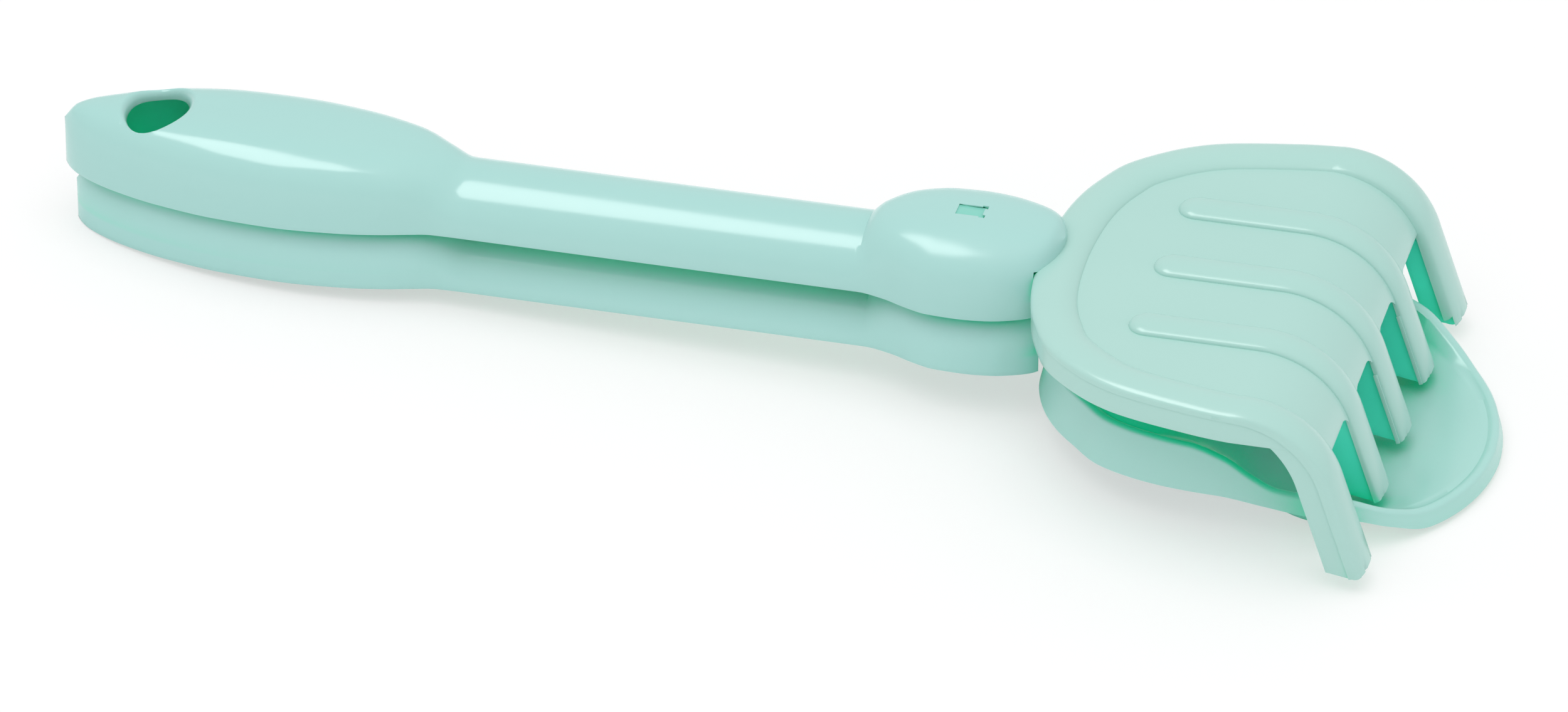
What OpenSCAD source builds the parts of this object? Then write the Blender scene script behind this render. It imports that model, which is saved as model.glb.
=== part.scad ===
// Toy sand rake stacked on the matching sand shovel. Each tool is an open-backed moulded handle with
// a moulded head whose tongue snaps into the handle's collar. X runs from the grip to the heads and
// Y runs across. The pair stands on the plane Z = 0, on the shovel's grip end and its scoop.

/* [Grip] */
// Length of the paddle grip
grip_l = 97; // [80:1:120]
// Width of the grip at its widest
grip_w = 37.2; // [32:0.1:44]
// Height of the grip's crown above the handle's lower edge
grip_h = 18.5; // [17:0.1:22]
// Length of the hanging hole, along the grip
hole_l = 15.2; // [10:0.1:18]
// Width of the hanging hole
hole_w = 19; // [10:0.1:20]
// Distance from the grip's end to the centre of the hanging hole
hole_x = 23.5; // [18:0.1:40]
// Depth of the collar round the hanging hole, from the grip's crown
hole_h = 3.4; // [2.4:0.1:5]

/* [Shaft] */
// Length of the half-round shaft
shaft_l = 95; // [60:1:200]
// Width of the shaft
shaft_w = 25; // [20:0.1:30]
// Height of the shaft
shaft_h = 12.5; // [10:0.1:16]

/* [Collar] */
// Length of the collar that takes the head's tongue
collar_l = 45.4; // [38:0.1:60]
// Width of the collar at its widest
collar_w = 36.8; // [32:0.1:44]
// Height of the collar's crown above the handle's lower edge
collar_h = 17.9; // [16.5:0.1:22]
// Length of the window that shows the snap tooth
window_l = 6.2; // [4:0.1:9]
// Width of the window
window_w = 4.4; // [3:0.1:7]

/* [Rake head] */
// Length of the rake's plate from its rear edge to the bend
plate_l = 55.9; // [40:0.5:80]
// Width of the rake's head
head_w = 121; // [100:1:160]
// Height of the rake's plate above the handle's lower edge
plate_h = 9.9; // [8:0.1:11]
// Radius of the bend between the plate and the tines
bend_r = 22.5; // [16:0.5:26]
// Lean of the tines from the vertical
tine_lean = 18.9; // [10:0.1:28]
// Height of the tines below the bend
tine_h = 22.3; // [20:0.1:26]
// How much shorter the inner tines are than the outer ones
inner_short = 1.8; // [0:0.1:4]
// Distance between the inner tines
tine_pitch = 26; // [22:0.5:32]
// Width of an inner tine
tine_w = 8.8; // [6:0.1:11]
// Depth of an inner tine, front to rear
tine_d = 8.2; // [6:0.1:10]
// Depth of an outer tine behind the rim
outer_tine_d = 6; // [4:0.1:9]
// Width of the rim and of the outer tines
rim_w = 10.4; // [8:0.1:12]
// Rise of the rim above the plate
rim_h = 1.7; // [1:0.1:3]
// Rise of the ribs above the plate
rib_h = 1.6; // [1:0.1:3]
// Height of the skirt's lower edge above the handle's lower edge
skirt_z = 4; // [1:0.1:5]

/* [Shovel head] */
// Length of the shovel's head
blade_l = 105; // [90:1:140]
// Width of the shovel's head
blade_w = 97.2; // [88:0.5:120]
// Height of the shovel's plate above the handle's lower edge
blade_h = 8; // [6:0.1:9]
// Drop of the plate's skirt below the handle's lower edge
blade_drop = 3; // [1:0.1:5]
// Depth of the scoop's front edge below the handle's lower edge
lip_depth = 12; // [10:0.1:13]
// Height of the scoop's edge
lip_h = 4; // [3:0.1:5]
// Depth of the scoop's floor below the handle's lower edge
scoop_depth = 14.3; // [14:0.1:18]

/* [Material and fit] */
// Thickness of the moulded walls
wall = 1.8; // [1.4:0.1:2.2]
// Gap between pieces that fit together
clearance = 0.3; // [0.2:0.05:0.5]
// Height of the rake above the shovel when they are stacked
stack_pitch = 15; // [14.5:0.1:16]
// How much smaller the shovel's handle is on every side
nest_inset = 1.1; // [0.8:0.1:1.5]
// How far the shovel lies forward of the rake
nest_shift = 1.2; // [0:0.1:3]

/* [Hidden] */
mint = [0.72, 0.88, 0.85];
overrun = 0.5 * wall;

// Along the handle: where the shaft, the collar and the handle end
shaft_x = grip_l;
collar_x = shaft_x + shaft_l;
handle_l = collar_x + collar_l;
// Half width of the grip: shares of its length, and of half its width
grip_width_shares = [
    [0, 0.05], [0.011, 0.13], [0.043, 0.317], [0.108, 0.527], [0.193, 0.704], [0.273, 0.823],
    [0.428, 0.962], [0.576, 1], [0.719, 0.941], [0.823, 0.839], [0.89, 0.742], [0.94, 0.68]
];
// Crown of the grip: shares of its length and of its height
grip_crown_shares = [
    [0, 0.595], [0.03, 0.784], [0.08, 0.87], [0.2, 0.95], [0.41, 1], [0.58, 0.984],
    [0.72, 0.951], [0.866, 0.87], [0.94, 0.78]
];
// Half width of the collar, past its narrow end, and its crown
collar_width_shares = [
    [0.14, 0.76], [0.27, 0.897], [0.39, 0.985], [0.54, 1], [0.69, 0.962], [0.78, 0.897],
    [0.89, 0.766], [0.95, 0.6], [0.985, 0.38], [1, 0.05]
];
collar_crown_shares = [
    [0.035, 0.82], [0.14, 0.922], [0.25, 0.972], [0.34, 0.989], [0.55, 1], [0.8, 0.966],
    [0.94, 0.911], [1, 0.78]
];
// Roundness of a section: 2 is an ellipse and more is boxier
grip_roundness = 3;
shaft_roundness = 2;

function scaled(shares, x0, l, size) = [for (s = shares) [x0 + s[0] * l, s[1] * size]];
half_widths = concat(
    scaled(grip_width_shares, 0, grip_l, grip_w / 2),
    [[shaft_x, shaft_w / 2], [collar_x, shaft_w / 2]],
    scaled(collar_width_shares, collar_x, collar_l, collar_w / 2)
);
crowns = concat(
    scaled(grip_crown_shares, 0, grip_l, grip_h),
    [[shaft_x, shaft_h], [collar_x, shaft_h]],
    scaled(collar_crown_shares, collar_x, collar_l, collar_h)
);
roundnesses = [
    [0, grip_roundness], [0.85 * grip_l, grip_roundness], [shaft_x, shaft_roundness],
    [collar_x, shaft_roundness], [collar_x + 0.2 * collar_l, grip_roundness],
    [handle_l, grip_roundness]
];

// A smooth curve through rows of [x, y], which never overshoots a row
function secant(t, i) = (t[i + 1][1] - t[i][1]) / (t[i + 1][0] - t[i][0]);
function slope(t, i) =
    i == 0 ? secant(t, 0)
    : i == len(t) - 1 ? secant(t, i - 1)
    : secant(t, i - 1) * secant(t, i) <= 0 ? 0
    : 2 * secant(t, i - 1) * secant(t, i) / (secant(t, i - 1) + secant(t, i));
function span_of(t, x, i = 0) = i < len(t) - 2 && x > t[i + 1][0] ? span_of(t, x, i + 1) : i;
function hermite(t, i, u) =
    let (w = t[i + 1][0] - t[i][0])
    t[i][1] * (1 + 2 * u) * (1 - u) ^ 2 + t[i + 1][1] * (3 - 2 * u) * u ^ 2
    + w * (slope(t, i) * u * (1 - u) ^ 2 - slope(t, i + 1) * u ^ 2 * (1 - u));
function along(t, x) =
    let (i = span_of(t, x), u = (x - t[i][0]) / (t[i + 1][0] - t[i][0]))
    hermite(t, i, max(0, min(1, u)));
function mix(a, b, u) = a + (b - a) * u;
function clamped(u) = max(0, min(1, u));
function signed_power(c, p) = c < 0 ? -pow(-c, p) : pow(c, p);

// Half of a section across the handle, at x and set in by d, from one lower edge over the crown
section_steps = 16;
function outline_slope(x) =
    let (h = 0.001 * grip_l)
    (along(half_widths, min(handle_l, x + h)) - along(half_widths, max(0, x - h)))
    / (min(handle_l, x + h) - max(0, x - h));
function section_x(x, d) =
    let (s = outline_slope(x))
    x + d * s / sqrt(1 + s * s);
function section_a(x, d) =
    let (s = outline_slope(x))
    max(along(half_widths, x) - d / sqrt(1 + s * s), along(half_widths, 0) / 2);
function section_arc(x, d) =
    let (a = section_a(x, d), b = along(crowns, x) - d, p = 2 / along(roundnesses, x))
    [for (i = [0:section_steps])
        let (t = 180 * i / section_steps)
        [a * signed_power(cos(t), p), b * pow(sin(t), p)]];
function section(x, d) = [for (q = section_arc(x, d)) [section_x(x, d), -q[0], q[1]]];

// Where the handle's sections stand: closer together at the round ends
function eased(a, b, n) = [for (i = [0:n]) mix(a, b, (1 - cos(180 * i / n)) / 2)];
handle_stations = concat(
    [for (x = eased(0, 2 * shaft_x, 34)) if (x < shaft_x) x],
    [for (i = [0:4]) mix(shaft_x, collar_x, i / 4)],
    [for (x = eased(2 * collar_x - handle_l, handle_l, 34)) if (x > collar_x + overrun) x]
);

// A closed solid through rings of points, each ring going the same way round
module loft(rings) {
    n = len(rings[0]);
    last = len(rings) - 1;
    sides = [for (i = [0:last - 1], j = [0:n - 1], k = [0:1])
        let (a = i * n + j, b = i * n + (j + 1) % n)
        k == 0 ? [a, b, b + n] : [a, b + n, a + n]];
    polyhedron(
        [for (r = rings) each r],
        concat([[for (j = [n - 1:-1:0]) j]], sides, [[for (j = [0:n - 1]) last * n + j]])
    );
}

// The handle's outer form set in by d, solid, over the stations xs
module handle_form(xs, d) {
    loft([for (x = xs) section(x, d)]);
}
// The same form drawn down past its lower edge, to hollow a shell
module hollow_form(xs, d) {
    loft([for (x = xs) concat(
        [[section_x(x, d), -section_a(x, d), -overrun]],
        section(x, d),
        [[section_x(x, d), section_a(x, d), -overrun]]
    )]);
}

// Outline of the hanging hole, grown by g
hole_steps = 36;
module hole_outline(g) {
    polygon([for (i = [0:hole_steps - 1])
        let (t = 360 * i / hole_steps)
        [(hole_l / 2 + g) * cos(t), (hole_w / 2 + g) * sin(t)]]);
}

module at_hole(z0, z1) {
    translate([hole_x, 0, z0]) linear_extrude(z1 - z0) children();
}

// Collar round the hanging hole, under the grip's crown
module hole_collar(d) {
    xs = [for (i = [1:12]) mix(0, 2 * hole_x, i / 12)];
    difference() {
        intersection() {
            at_hole(grip_h / 4, 2 * grip_h) hole_outline(wall - d);
            handle_form(xs, d);
        }
        hollow_form(xs, d + hole_h);
    }
}

// Wall across the grip that stands on the crown of the tool below, set off from it by the clearance
seat_share = 0.58;
module seat_rib() {
    x = seat_share * grip_l;
    lower_x = x - nest_shift;
    translate([x, 0, 0])
        rotate([90, 0, 90])
        linear_extrude(wall, center = true)
        difference() {
            polygon(section_arc(x, wall / 2));
            translate([0, -stack_pitch])
                polygon(section_arc(lower_x, nest_inset - clearance));
            translate([-grip_w, -grip_h])
                square([2 * grip_w, grip_h + 2 * clearance]);
        }
}

// Open-backed handle set in by d, with its hole, its window and a notch that seats over a head whose
// plate stands at head_z, from head_x on
module handle(d, head_x, head_z) {
    difference() {
        union() {
            difference() {
                handle_form(handle_stations, d);
                hollow_form(handle_stations, d + wall);
            }
            hole_collar(d);
        }
        at_hole(0, 2 * grip_h) hole_outline(-d);
        translate([window_x, 0, collar_h])
            cube([window_l, window_w, collar_h], center = true);
        translate([head_x - clearance, -collar_w, -overrun])
            cube([collar_l, 2 * collar_w, head_z + clearance + overrun]);
    }
}
window_x = collar_x + 0.515 * collar_l;

// Tongue of a head: a hollow form that fills the collar but for the clearance, with the snap tooth
tongue_start_share = 0.3;
tongue_end_share = 0.97;
module tongue(d) {
    fit = d + wall + clearance;
    x0 = collar_x + tongue_start_share * collar_l;
    x1 = collar_x + tongue_end_share * collar_l;
    outer = [for (i = [0:8]) mix(x0, x1, i / 8)];
    inner = [for (i = [0:8]) mix(x0 - wall, x1 - wall, i / 8)];
    difference() {
        handle_form(outer, fit);
        hollow_form(inner, fit + wall);
        translate([0, -collar_w, -skirt_z]) cube([handle_l, 2 * collar_w, 2 * skirt_z]);
    }
    // The tooth's ramp rises towards the plate, into the window
    tooth_l = window_l - 2 * clearance;
    tooth_w = window_w - 2 * clearance;
    tooth_rise = 1.2 * wall;
    crown = along(crowns, window_x) - fit;
    translate([window_x - tooth_l / 2, tooth_w / 2, crown - wall / 2])
        rotate([90, 0, 0])
        linear_extrude(tooth_w)
        polygon([
            [0, 0], [tooth_l, 0], [tooth_l, tooth_rise], [0.75 * tooth_l, tooth_rise], [0, 0.7 * wall]
        ]);
}

// Neck that joins the tongue to a plate whose underside is at z1
neck_w = 0.3 * collar_w;
module neck(z1) {
    x0 = collar_x + 0.8 * collar_l;
    translate([x0, -neck_w / 2, skirt_z]) cube([head_x + 2 * wall - x0, neck_w, z1 - skirt_z]);
}

// Rake head, from here on in the rake handle's own axes
head_x = handle_l - 0.105 * collar_l;
bend_x = head_x + plate_l;
// The plate's plan: shares of the plate's length and of half the head's width, rear to front
plate_plan_shares = [
    [0, 0], [0.003, 0.1], [0.01, 0.2], [0.03, 0.335], [0.065, 0.46], [0.11, 0.56], [0.16, 0.655],
    [0.215, 0.715], [0.285, 0.775], [0.36, 0.83], [0.44, 0.875], [0.52, 0.908], [0.65, 0.942],
    [0.8, 0.972], [0.9, 0.99], [1, 1]
];
// A line of points made twice as fine, along a smooth curve that starts square to the middle line
function finer(l) =
    let (n = len(l) - 1)
    [for (i = [0:2 * n])
        let (k = floor(i / 2), a = k == 0 ? [l[1][0], -l[1][1]] : l[k - 1], b = l[min(n, k + 2)])
        i % 2 == 0 ? l[k] : (9 * (l[k] + l[k + 1]) - a - b) / 16];
plate_edge = concat(
    finer([for (s = plate_plan_shares) [head_x + s[0] * plate_l, s[1] * head_w / 2]]),
    [[bend_x + 2 * bend_r, head_w / 2]]
);
// A point list moved inwards by d, for a line that runs anticlockwise seen from above
function normal_at(l, i) =
    let (a = l[max(0, i - 1)], b = l[min(len(l) - 1, i + 1)], v = b - a)
    [-v[1], v[0]] / norm(v);
function half_inset(l, d) =
    [for (i = [0:len(l) - 1])
        let (n = i == 0 ? [-1, 0] : normal_at(l, i))
        l[i] - d * n];
function both_sides(l) =
    concat([for (i = [len(l) - 1:-1:1]) [l[i][0], -l[i][1]]], l);
module plan(d) {
    polygon(both_sides(half_inset(plate_edge, d)));
}

// Side profile of the plate, the bend and the tines, offset outwards by g: rows of [x, z, turn],
// where turn is the angle from the plate
bend_turn = 90 - tine_lean;
bend_steps = 10;
function profile(x0, g, rise) =
    let (
        r = bend_r + g,
        c = [bend_x, plate_h - bend_r],
        e = c + r * [sin(bend_turn), cos(bend_turn)],
        l = tine_h / cos(tine_lean)
    )
    concat(
        x0 < bend_x ? [[x0, plate_h + g, 0]] : [],
        [for (i = [0:bend_steps])
            let (t = bend_turn * i / bend_steps, k = r + rise * pow(i / bend_steps, 0.7))
            [c[0] + k * sin(t), c[1] + k * cos(t), t]],
        [for (u = [0.5, 1.15])
            [e[0] + rise * sin(bend_turn) + u * l * sin(tine_lean),
             e[1] + rise * cos(bend_turn) - u * l * cos(tine_lean), bend_turn]]
    );
function flat_points(rows) = [for (q = rows) [q[0], q[1]]];
function backwards(l) = [for (i = [len(l) - 1:-1:0]) l[i]];
module across(y0, y1) {
    translate([0, y1, 0]) rotate([90, 0, 0]) linear_extrude(y1 - y0) children();
}

// Plate, bend and tine fronts as one skin
module skin_profile() {
    polygon(concat(
        flat_points(profile(head_x - wall, 0, 0)),
        backwards(flat_points(profile(head_x - wall, -wall, 0)))
    ));
}
// Side of the skirt, from inside the skin down to its lower edge
module skirt_profile() {
    top = [for (q = profile(head_x - wall, -wall / 2, 0)) if (q[1] > skirt_z) [q[0], q[1]]];
    polygon(concat([[head_x - wall, skirt_z]], top, [[top[len(top) - 1][0], skirt_z]]));
}
// One side wall of a tine: from the front back by the tine's depth, up to the plate's underside
module tine_profile(depth) {
    front = flat_points(profile(bend_x + bend_r, -wall / 2, 0));
    polygon(concat(front, [for (q = backwards(front)) q - [depth, 0]]));
}
// What is cut away round the tips, whose fronts stand g before the skin and which are shorter by cut_off:
// the sloping end and its rounded front corner
tip_slope = 10;
tip_r = 0.28 * tine_d;
module tip_cut(g, cut_off) {
    h = tine_h - cut_off;
    end = [
        bend_x + (bend_r + g) * sin(bend_turn) + h * tan(tine_lean),
        plate_h - bend_r + (bend_r + g) * cos(bend_turn) - h
    ];
    // Centre of the corner, whose arc runs from the sloping end round to the tine's front
    c = end - tip_r * [sin(bend_turn) + tan(tip_slope), cos(bend_turn) - 1];
    far = 2 * tine_d;
    polygon(concat(
        [[c[0] - far, c[1] - tip_r + (far - tip_r) * tan(tip_slope)]],
        [for (i = [0:5])
            let (t = mix(-90 - tip_slope, tine_lean, i / 5))
            c + tip_r * [cos(t), sin(t)]],
        [[c[0] + far, c[1]], [c[0] + far, c[1] - far], [c[0] - far, c[1] - far]]
    ));
}

// How far a ridge's foot lies below the surface it stands on, and how far the rim stands proud
ridge_overlap = 0.03 * wall;
// A rounded ridge along a path: rows of [point, side direction, up direction, half width, rise, sink],
// where sink is how far its base lies below the point
ridge_steps = 8;
module ridge(rows) {
    loft([for (q = rows)
        concat(
            [q[0] + q[1] * q[3] - q[2] * q[5], q[0] - q[1] * q[3] - q[2] * q[5]],
            [for (i = [ridge_steps:-1:0])
                let (t = 180 * i / ridge_steps, rise = (q[4] + ridge_overlap) * pow(sin(t), 0.7))
                q[0] + q[1] * q[3] * cos(t) + q[2] * (rise - ridge_overlap)]
        )]);
}
function up_of(turn) = [sin(turn), 0, cos(turn)];
rib_start_share = 0.457;
module rib(y) {
    r = tine_w / 2;
    x0 = head_x + rib_start_share * plate_l;
    start = [for (i = [0:4])
        let (t = mix(15, 90, i / 4))
        [[x0 + r * (1 - cos(t)), y, plate_h], [0, 1, 0], [0, 0, 1], r * sin(t), rib_h * sin(t), wall / 2]];
    rest = [for (q = profile(bend_x, 0, 0)) [[q[0], y, q[1]], [0, 1, 0], up_of(q[2]), r, rib_h, wall / 2]];
    ridge(concat(start, rest));
}
rear_to_front = [for (q = plate_edge) if (q[0] > head_x + plate_l / 2) q];
// Half of the rim, from the middle of the rear edge over the bend to the outer tine's tip
rim_forward = 1.2;
module rim_half() {
    r = rim_w / 2 + ridge_overlap;
    line = half_inset(plate_edge, rim_w / 2);
    flat = [for (i = [0:len(line) - 1])
        if (line[i][0] < bend_x - wall)
        let (n = i == 0 ? [-1, 0] : normal_at(plate_edge, i))
        [[line[i][0], line[i][1], plate_h], [n[0], n[1], 0], [0, 0, 1], r, rim_h, 0.8 * wall]];
    bent = [for (q = profile(bend_x, 0, rim_forward))
        [[q[0], along(rear_to_front, q[0]) - rim_w / 2, q[1]],
         [0, 1, 0], up_of(q[2]), r, rim_h, 0.8 * wall + rim_forward]];
    ridge(concat(flat, bent));
}

// Where the gaps between the tines end, as an angle round the bend
gap_turn = 66;
module rake_head_form() {
    inner_edge = head_w / 2 - rim_w + ridge_overlap;
    corner_r = 0.12 * (tine_pitch - tine_w);
    tip_y = tine_w / 2 - ridge_overlap;
    gaps = [
        [tip_y, tine_pitch - tip_y], [tine_pitch + tip_y, inner_edge],
        [tip_y - tine_pitch, -tip_y], [-inner_edge, -tine_pitch - tip_y]
    ];
    difference() {
        union() {
            // Plate and tine fronts, with the gaps between the tines
            difference() {
                intersection() {
                    across(-head_w, head_w) skin_profile();
                    translate([0, 0, -head_w]) linear_extrude(2 * head_w) plan(0);
                }
                // Each gap is cut square to the skin at its upper end
                for (g = gaps)
                    translate([bend_x + bend_r * sin(gap_turn), 0, plate_h - bend_r * (1 - cos(gap_turn))])
                    rotate([0, gap_turn, 0])
                    linear_extrude(6 * wall, center = true) gap_plan(g, corner_r);
            }
            // Skirt
            intersection() {
                across(-head_w, head_w) skirt_profile();
                translate([0, 0, skirt_z]) linear_extrude(plate_h) difference() {
                    plan(0);
                    plan(wall);
                }
            }
            ribs_and_rim();
            tine_walls();
            tongue(0);
            neck(plate_h - wall / 2);
        }
        across(-inner_edge, inner_edge) tip_cut(rib_h, inner_short);
        across(-head_w, -inner_edge) tip_cut(rim_h + rim_forward, 0);
        across(inner_edge, head_w) tip_cut(rim_h + rim_forward, 0);
    }
}
module gap_plan(g, r) {
    far = 2 * bend_r;
    polygon(concat(
        [for (i = [0:4]) let (t = 90 * i / 4) [r * (1 - sin(t)), g[0] + r * (1 - cos(t))]],
        [for (i = [0:4]) let (t = 90 * i / 4) [r * (1 - cos(t)), g[1] - r * (1 - sin(t))]],
        [[far, g[1]], [far, g[0]]]
    ));
}
module ribs_and_rim() {
    for (y = [-tine_pitch, 0, tine_pitch]) rib(y);
    rim_half();
    mirror([0, 1, 0]) rim_half();
}
module tine_walls() {
    for (y = [-tine_pitch, 0, tine_pitch], s = [-1, 1]) {
        edge = y + s * tine_w / 2;
        across(min(edge, edge - s * wall), max(edge, edge - s * wall)) tine_profile(tine_d);
    }
    for (s = [-1, 1]) {
        outer = s * (head_w / 2 - ridge_overlap);
        inner = s * (head_w / 2 - rim_w);
        across(min(outer, outer - s * wall), max(outer, outer - s * wall)) tine_profile(outer_tine_d);
        across(min(inner, inner + s * wall), max(inner, inner + s * wall)) tine_profile(outer_tine_d);
    }
}

// Shovel head, in the shovel handle's own axes
blade_x = handle_l - 0.105 * collar_l;
// Plan of the shovel's lower edge: shares of the head's length and of half its width
blade_plan_shares = [
    [0, 0], [0.002, 0.12], [0.007, 0.25], [0.02, 0.36], [0.045, 0.49], [0.07, 0.58], [0.1, 0.665],
    [0.14, 0.75], [0.19, 0.86], [0.26, 0.93], [0.34, 0.975], [0.42, 0.995], [0.5, 1], [0.58, 0.995],
    [0.65, 0.985], [0.71, 0.955], [0.77, 0.9], [0.83, 0.79], [0.885, 0.66], [0.93, 0.51],
    [0.965, 0.35], [0.99, 0.18], [1, 0]
];
blade_edge = finer([for (s = blade_plan_shares) [blade_x + s[0] * blade_l, s[1] * blade_w / 2]]);
// Height of the upper edge, of the lower edge and of the floor along the middle
side_depth = lip_depth / 5;
upper_edge = [
    [blade_x, blade_h], [blade_x + 0.4 * blade_l, 0.94 * blade_h],
    [blade_x + 0.48 * blade_l, 0.7 * blade_h], [blade_x + 0.55 * blade_l, 0.2 * blade_h],
    [blade_x + 0.6 * blade_l, -0.3 * side_depth], [blade_x + 0.67 * blade_l, -0.7 * side_depth],
    [blade_x + 0.76 * blade_l, -0.3 * lip_depth], [blade_x + 0.84 * blade_l, -0.66 * lip_depth],
    [blade_x + 0.91 * blade_l, -0.92 * lip_depth], [blade_x + blade_l, -lip_depth]
];
lower_edge = [
    [blade_x, -blade_drop], [blade_x + 0.47 * blade_l, -blade_drop],
    [blade_x + 0.58 * blade_l, -1.35 * blade_drop], [blade_x + 0.68 * blade_l, -1.8 * blade_drop],
    [blade_x + 0.76 * blade_l, -0.24 * lip_depth - lip_h],
    [blade_x + 0.84 * blade_l, -0.63 * lip_depth - lip_h],
    [blade_x + 0.91 * blade_l, -0.93 * lip_depth - lip_h], [blade_x + blade_l, -lip_depth - lip_h]
];
floor_line = [
    [blade_x, blade_h], [blade_x + 0.26 * blade_l, blade_h],
    [blade_x + 0.38 * blade_l, 0.75 * blade_h], [blade_x + 0.48 * blade_l, 0],
    [blade_x + 0.56 * blade_l, -0.42 * scoop_depth], [blade_x + 0.63 * blade_l, -0.86 * scoop_depth],
    [blade_x + 0.68 * blade_l, -0.99 * scoop_depth], [blade_x + 0.72 * blade_l, -scoop_depth],
    [blade_x + blade_l, -scoop_depth]
];
blade_middle = [blade_x + 0.58 * blade_l, 0];
edge_draft = 0.2;
floor_flatness = 8;
// A ring of the head's plan: share u of the way from the middle to the edge set in by d(x)
function blade_line(d) =
    let (l = half_inset(blade_edge, d), n = len(l) - 1)
    concat(
        [for (i = [0:n]) i == n ? blade_edge[n] - [d, 0] : l[i]],
        [for (i = [n - 1:-1:1]) [l[i][0], -l[i][1]]]
    );
function edge_height(x) = along(upper_edge, x) - along(lower_edge, x);
function drafted(i, d) =
    let (e = blade_line(0)[i], q = blade_line(d + edge_draft * edge_height(e[0]))[i])
    q;
function depth_at(x, u) = mix(along(floor_line, x), along(upper_edge, x), pow(u, floor_flatness));
edge_count = len(blade_line(0));
function floor_ring(u, drop) =
    [for (i = [0:edge_count - 1])
        let (e = drafted(i, 0), q = mix(blade_middle, e, u))
        [q[0], q[1], depth_at(q[0], u) - drop]];
function edge_ring(d, z_share) =
    [for (i = [0:edge_count - 1])
        let (e = blade_line(0)[i], q = drafted(i, d))
        [q[0], q[1], along(upper_edge, e[0]) - z_share * wall]];
function foot_ring(d) =
    [for (i = [0:edge_count - 1])
        let (e = blade_line(0)[i], q = blade_line(d)[i])
        [q[0], q[1], along(lower_edge, e[0])]];
function corner_ring(d) =
    [for (i = [0:edge_count - 1])
        let (
            e = blade_line(0)[i],
            q = drafted(i, d),
            deep = clamped((edge_height(e[0]) - 2 * wall) / (blade_h + blade_drop - 2 * wall))
        )
        [q[0], q[1], mix(along(lower_edge, e[0]) + 0.2 * wall, along(upper_edge, e[0]) - wall, deep)]];
floor_shares = [0.06, 0.3, 0.5, 0.66, 0.78, 0.86, 0.905];

module blade() {
    rings = concat(
        [for (u = floor_shares) floor_ring(u, 0)],
        [edge_ring(1.5 * wall, 0.35), edge_ring(0.8 * wall, 0), edge_ring(0.25 * wall, 0.12)],
        [edge_ring(0, 0.5), foot_ring(0), foot_ring(0.8 * wall), corner_ring(wall)],
        [for (u = backwards(floor_shares)) floor_ring(u, wall)]
    );
    loft([for (r = rings) backwards(r)]);
}

// How the pair stands: on the lower edge of the shovel's grip end and on the floor of its scoop
heel_x = nest_shift;
toe_x = nest_shift + blade_x + 0.71 * blade_l;
patch_h = 0.25;
toe_z = -scoop_depth - wall + patch_h * wall;
rest_tilt = atan(-toe_z / (toe_x - heel_x));
grip_end_h = grip_h * grip_crown_shares[0][1];
rear_x = -heel_x * cos(rest_tilt) - (stack_pitch + grip_end_h) * sin(rest_tilt);
front_x = (nest_shift + blade_x + blade_l - heel_x) * cos(rest_tilt) + (lip_depth + lip_h) * sin(rest_tilt);

module placed() {
    translate([-(rear_x + front_x) / 2, 0, 0])
        rotate([0, -rest_tilt, 0])
        translate([-heel_x, 0, 0])
        children();
}
module as_rake() {
    placed() translate([0, 0, stack_pitch]) children();
}
module as_shovel() {
    placed() translate([nest_shift, 0, 0]) children();
}

module rake_handle() {
    color(mint) as_rake() {
        handle(0, head_x, plate_h + rim_h);
        seat_rib();
    }
}
module shovel_handle() {
    color(mint) as_shovel() handle(nest_inset, blade_x, blade_h);
}
module rake_head() {
    color(mint) as_rake() rake_head_form();
}
module shovel_head() {
    color(mint) difference() {
        as_shovel() {
            blade();
            tongue(nest_inset);
            neck(blade_h - wall / 2);
        }
        // Flat patch that the scoop stands on
        translate([-handle_l, -head_w, -2 * wall]) cube([2 * handle_l, 2 * head_w, 2 * wall]);
    }
}

rake_handle();
rake_head();
shovel_handle();
shovel_head();
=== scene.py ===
import bpy, math
from mathutils import Matrix, Vector


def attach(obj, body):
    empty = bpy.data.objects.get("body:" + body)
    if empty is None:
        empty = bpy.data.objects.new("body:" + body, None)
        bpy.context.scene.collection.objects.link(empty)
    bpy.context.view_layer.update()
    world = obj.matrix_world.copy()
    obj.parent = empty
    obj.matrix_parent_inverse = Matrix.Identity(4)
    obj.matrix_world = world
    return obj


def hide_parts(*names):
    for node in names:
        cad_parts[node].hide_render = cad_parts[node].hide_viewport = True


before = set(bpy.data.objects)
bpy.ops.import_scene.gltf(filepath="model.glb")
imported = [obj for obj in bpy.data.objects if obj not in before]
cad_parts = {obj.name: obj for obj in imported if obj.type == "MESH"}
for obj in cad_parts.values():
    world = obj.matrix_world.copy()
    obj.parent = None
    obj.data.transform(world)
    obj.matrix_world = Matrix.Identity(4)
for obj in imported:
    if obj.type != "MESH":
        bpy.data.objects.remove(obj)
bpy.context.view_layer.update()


# The handle of the rake: one injection-moulded shell in glossy mint plastic, open underneath. A paddle
# grip with a hanging hole runs into a half-round shaft and a bulb-shaped collar that takes the head.
# Sizes are in mm in the tool's own axes: x from the grip's end, z up from the shell's lower edge.
MM = 0.001
GRIP_L, GRIP_HALF, GRIP_H = 97.0, 18.6, 18.5
SHAFT_L, SHAFT_HALF, SHAFT_H = 95.0, 12.5, 12.5
COLLAR_L, COLLAR_HALF, COLLAR_H = 45.4, 18.4, 17.9
COLLAR_X = GRIP_L + SHAFT_L
HANDLE_L = COLLAR_X + COLLAR_L
WALL = 1.8
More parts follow.
